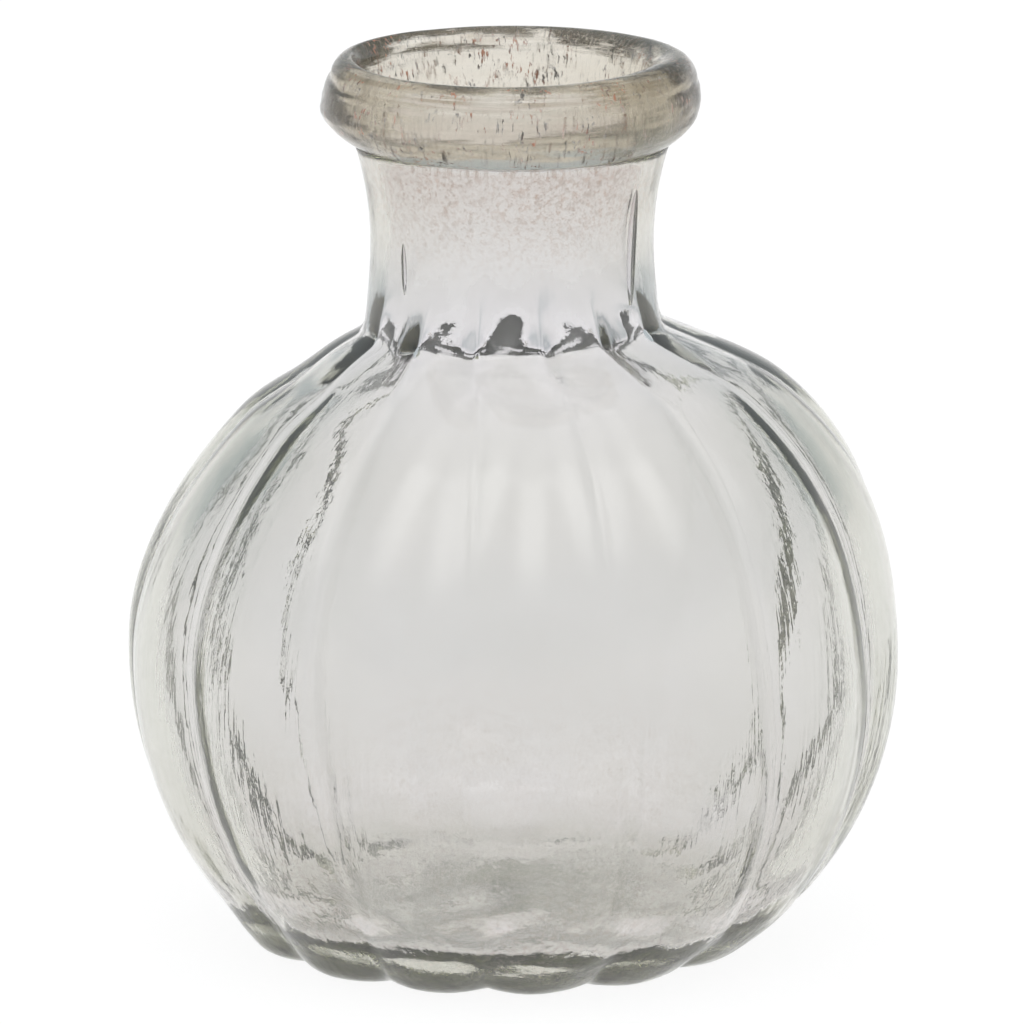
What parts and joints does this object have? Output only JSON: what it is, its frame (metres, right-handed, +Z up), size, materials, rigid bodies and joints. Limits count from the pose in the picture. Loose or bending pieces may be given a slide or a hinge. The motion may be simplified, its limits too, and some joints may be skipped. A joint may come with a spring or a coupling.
{
  "type": "glass bud vase",
  "caption": "Small ribbed globe vase in clear grey glass with a narrow waisted neck and a rolled lip, for a single stem or a small posy.",
  "frame": {"origin": "centre of the ring that the vase stands on, in the plane of the surface under it", "axes": "+Z up along the vase's axis, -Y towards the front; one groove between ribs runs 4.5 degrees left of the front"},
  "size_m": [0.0776, 0.0772, 0.09],
  "materials": {
    "body_glass": "clear, faintly smoky, slightly uneven",
    "lip_glass": "clear, thicker and slightly olive, with fine tool marks"
  },
  "bodies": {
    "root": {"vase_body": "body_glass", "lip_ring": "lip_glass"}
  },
  "joints": []
}
